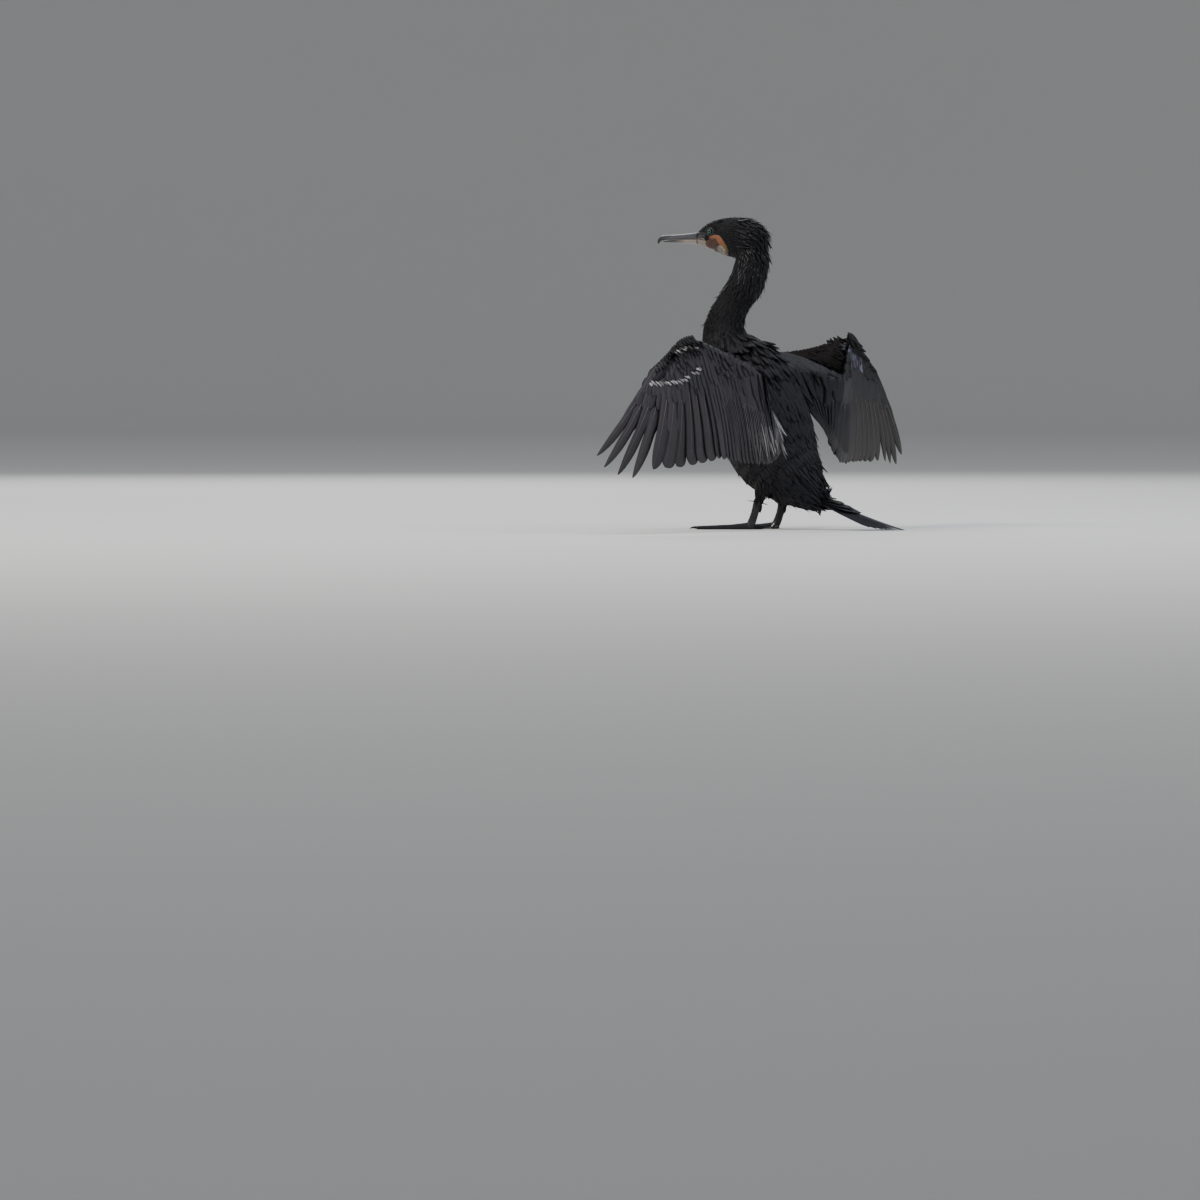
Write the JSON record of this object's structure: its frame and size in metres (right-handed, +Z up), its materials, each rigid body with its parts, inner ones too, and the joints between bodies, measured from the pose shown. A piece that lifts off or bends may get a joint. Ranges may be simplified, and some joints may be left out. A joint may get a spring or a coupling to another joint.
{
  "type": "great cormorant standing with its wings spread to dry, life-size still model",
  "caption": "Life-size great cormorant standing on webbed feet and stiff tail, neck upright, bill to the front, both wings held out to dry.",
  "frame": {"origin": "on the floor, under the middle of the bird's bounding box", "axes": "+Z up; the bird faces -X with its left side at -Y and its tail at +X; the spread wings run along Y"},
  "size_m": [0.4206, 1.1104, 0.499],
  "materials": {
    "body_feathers": "close, slightly shaggy black body feathers with a blue-green gloss",
    "wing_feathers": "dull brown-black flight feathers; bronze-grey coverts with black edges",
    "tail_feathers": "stiff, dull grey-black tail feathers with worn ends",
    "bill_upper": "dark grey-brown horn, satin",
    "bill_lower": "pale grey horn, satin",
    "eye": "wet, dark emerald green with a black pupil",
    "foot_skin": "scaled black skin",
    "claw": "black horn"
  },
  "bodies": {
    "root": {"bill_lower": "bill_lower", "bill_upper": "bill_upper", "claw_left_hind": "claw", "claw_left_inner": "claw", "claw_left_middle": "claw", "claw_left_outer": "claw", "claw_right_hind": "claw", "claw_right_inner": "claw", "claw_right_middle": "claw", "claw_right_outer": "claw", "eye_left": "eye", "eye_right": "eye", "foot_left": "foot_skin", "foot_right": "foot_skin", "head": "body_feathers", "leg_left": "foot_skin", "leg_right": "foot_skin", "neck_lower": "body_feathers", "neck_upper": "body_feathers", "tail": "tail_feathers", "thigh_left": "body_feathers", "thigh_right": "body_feathers", "torso": "body_feathers", "wing_left": "wing_feathers", "wing_right": "wing_feathers"}
  },
  "joints": []
}
